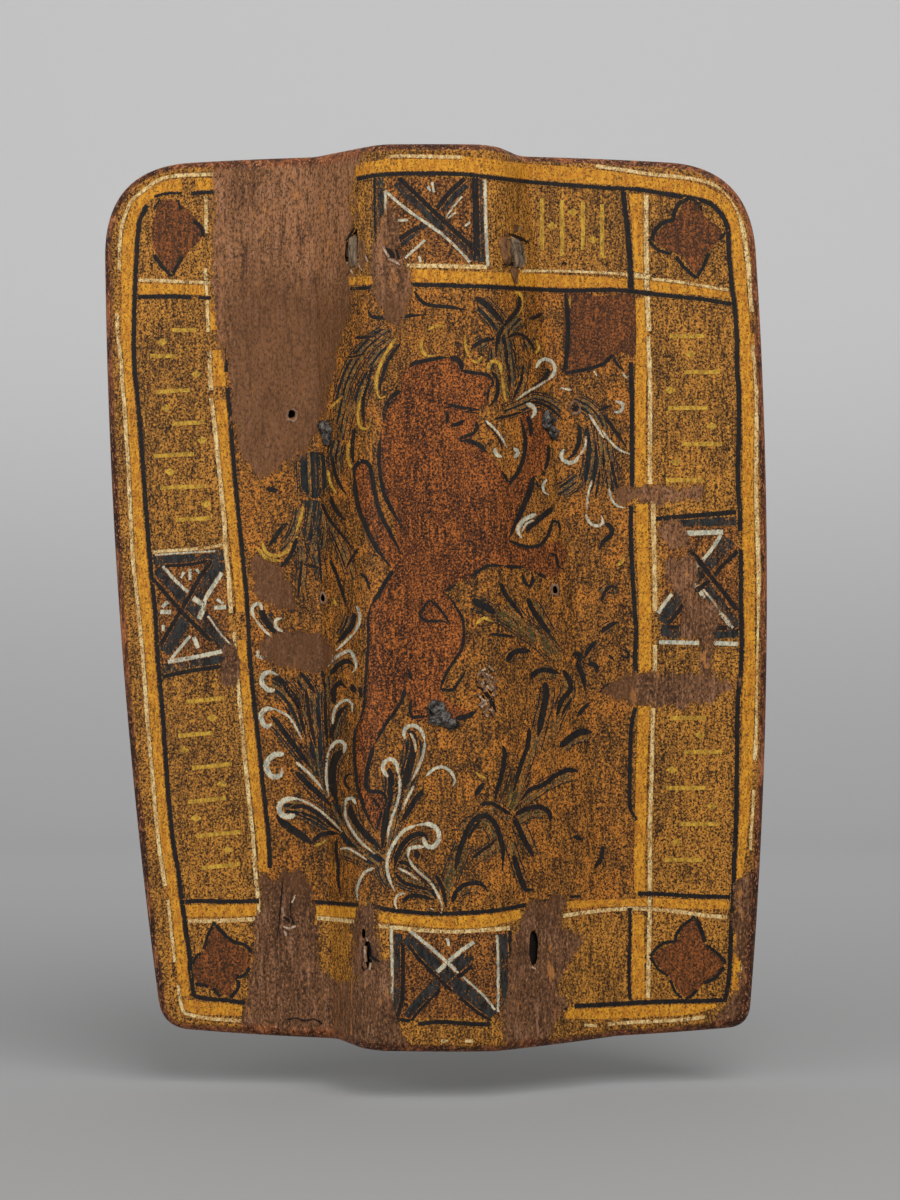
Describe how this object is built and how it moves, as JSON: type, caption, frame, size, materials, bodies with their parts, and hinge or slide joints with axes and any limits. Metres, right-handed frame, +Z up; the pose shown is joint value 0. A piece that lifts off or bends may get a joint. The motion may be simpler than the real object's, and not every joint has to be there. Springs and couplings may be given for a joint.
{
  "type": "pavise shield",
  "caption": "Small hand pavise: hide-covered wooden shield with a hollow centre ridge, painted face, wooden T handle behind, clinched iron nails and rawhide thongs.",
  "frame": {"origin": "the middle of the hand grip on the handle's upright stem", "axes": "+Z up the shield, +X to the viewer's right when facing the painted side, -Y out of the painted face"},
  "size_m": [0.4082, 0.0811, 0.541],
  "materials": {
    "stave_wood": "bare split and planed softwood staves",
    "front_hide": "aged brown hide, dull, with fine vertical cracks",
    "back_hide": "plain darkened hide",
    "painted_ground": "thin chalk ground under worn orange-brown, ochre and black paint with old varnish",
    "handle_wood": "hand-darkened ash",
    "peg_wood": "whittled peg",
    "grip_leather": "dark worn leather",
    "wrought_iron": "dark hammered wrought iron with light wear on its edges",
    "rawhide": "dried, shredded rawhide"
  },
  "bodies": {
    "root": {"stave_left_outer": "stave_wood", "stave_left_middle": "stave_wood", "stave_left_flank": "stave_wood", "stave_crest": "stave_wood", "stave_right_flank": "stave_wood", "stave_right_middle": "stave_wood", "stave_right_outer": "stave_wood", "hide_front": "front_hide", "hide_back": "back_hide", "painted_ground": "painted_ground", "handle_crossbar": "handle_wood", "handle_stem": "handle_wood", "handle_peg": "peg_wood", "grip_sleeve": "grip_leather", "nail_left": "wrought_iron", "nail_right": "wrought_iron", "nail_foot": "wrought_iron", "thong_upper": "rawhide", "thong_lower": "rawhide"}
  },
  "joints": []
}
